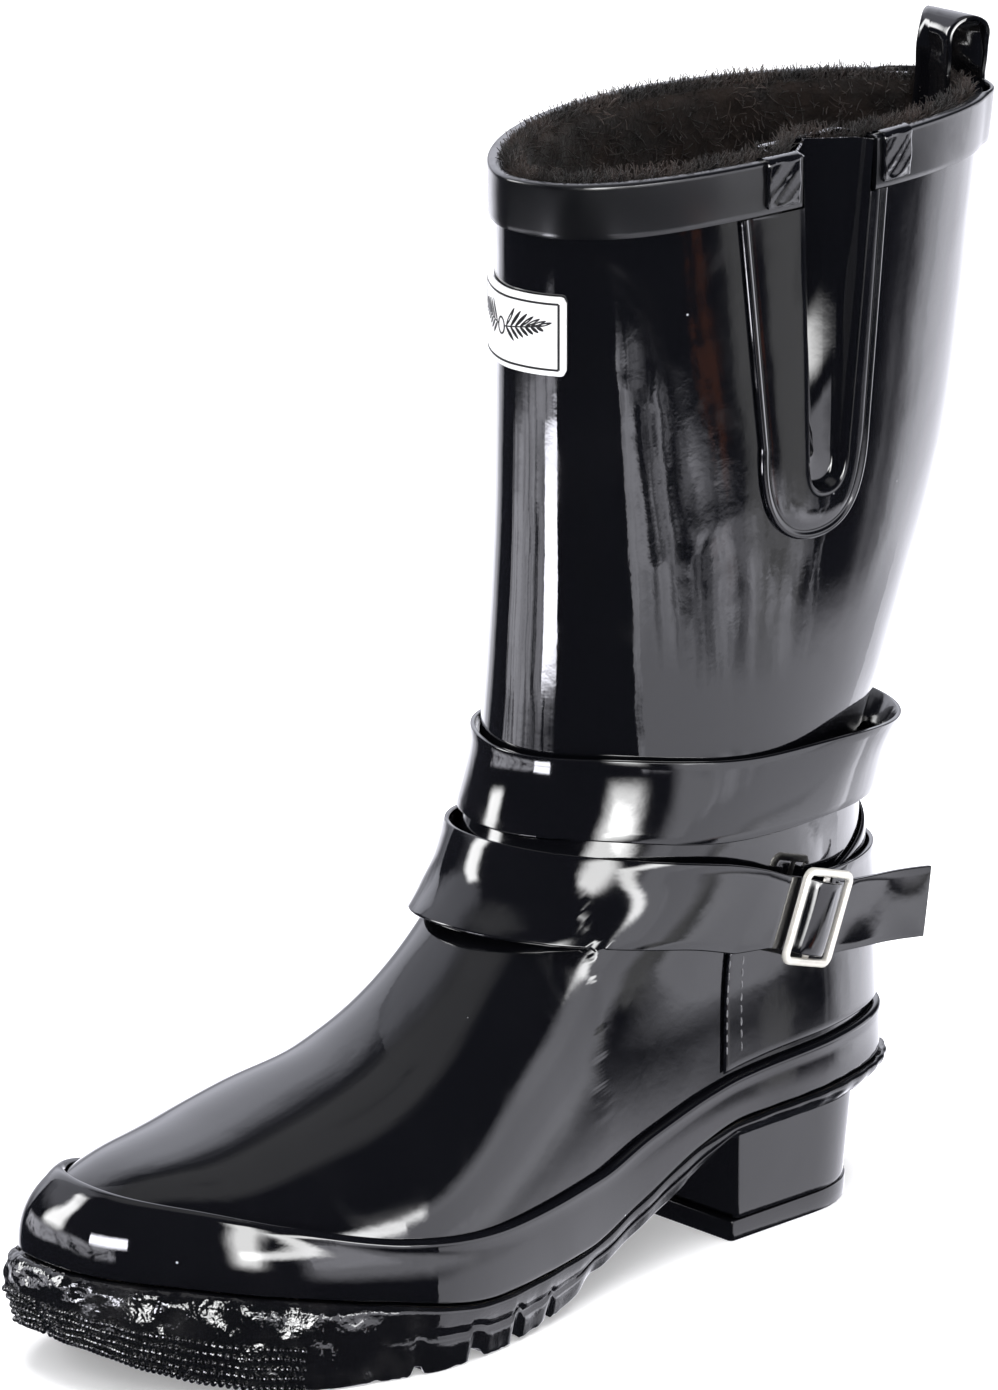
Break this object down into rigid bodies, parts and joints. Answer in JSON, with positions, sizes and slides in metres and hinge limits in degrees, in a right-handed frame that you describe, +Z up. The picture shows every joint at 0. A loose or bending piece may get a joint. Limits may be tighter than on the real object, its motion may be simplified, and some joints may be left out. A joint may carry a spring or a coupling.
{
  "type": "rubber rain boot",
  "caption": "Mid-calf pull-on rubber rain boot for the left foot, glossy black, with a fleece lining, a side gusset, a rear pull loop, two ankle straps and a slide buckle.",
  "frame": {"origin": "centre of the flat ground face of the heel", "axes": "+Z up the shaft; -Y from the heel towards the toe; +X towards the outer side of the left foot"},
  "size_m": [0.1018, 0.312, 0.325],
  "materials": {
    "gloss_rubber": "high gloss lacquered",
    "sole_rubber": "semi-gloss, textured edge",
    "fleece": "short dark pile",
    "fibre_board": "matt fibre",
    "polished_steel": "polished, pale nickel",
    "white_label": "satin, thin black border and a plain leaf-shaped device"
  },
  "bodies": {
    "boot": {"outsole": "sole_rubber", "heel_block": "sole_rubber", "heel_top_piece": "sole_rubber", "midsole_filler": "fibre_board", "shank": "polished_steel", "insole_board": "fibre_board", "footbed": "fleece", "foot_shell": "gloss_rubber", "foot_lining": "fleece", "heel_stiffener": "fibre_board", "toe_puff": "fibre_board", "rand": "gloss_rubber", "counter": "gloss_rubber", "shaft": "gloss_rubber", "shaft_lining": "fleece", "gusset_panel": "gloss_rubber", "gusset_stay": "gloss_rubber", "rim_binding": "gloss_rubber", "binding_tab_front": "gloss_rubber", "binding_tab_rear": "gloss_rubber", "pull_loop_outer_end": "gloss_rubber", "pull_loop_inner_end": "gloss_rubber", "front_label": "white_label", "upper_strap": "gloss_rubber", "lower_strap": "gloss_rubber"},
    "strap_tail": {"strap_tail": "gloss_rubber"},
    "buckle": {"buckle_frame": "polished_steel"},
    "pull_loop": {"pull_loop": "gloss_rubber"}
  },
  "joints": [
    {"name": "strap_tail_flex", "type": "hinge", "parent": "boot", "child": "strap_tail", "pos_m": [0.03857, 0.00153, 0.08782], "axis": [-0.0551, -0.3147, -0.9476], "range_deg": [-2, 35], "stiffness_Nm_per_rad": 0.02},
    {"name": "buckle_rock", "type": "hinge", "parent": "boot", "child": "buckle", "pos_m": [0.04161, -0.00848, 0.09097], "axis": [0.0551, 0.3147, 0.9476], "range_deg": [-3, 3]},
    {"name": "pull_loop_flex", "type": "hinge", "parent": "boot", "child": "pull_loop", "pos_m": [0.012, 0.0731, 0.3072], "axis": [1, 0, 0], "range_deg": [-30, 10], "stiffness_Nm_per_rad": 0.05}
  ]
}
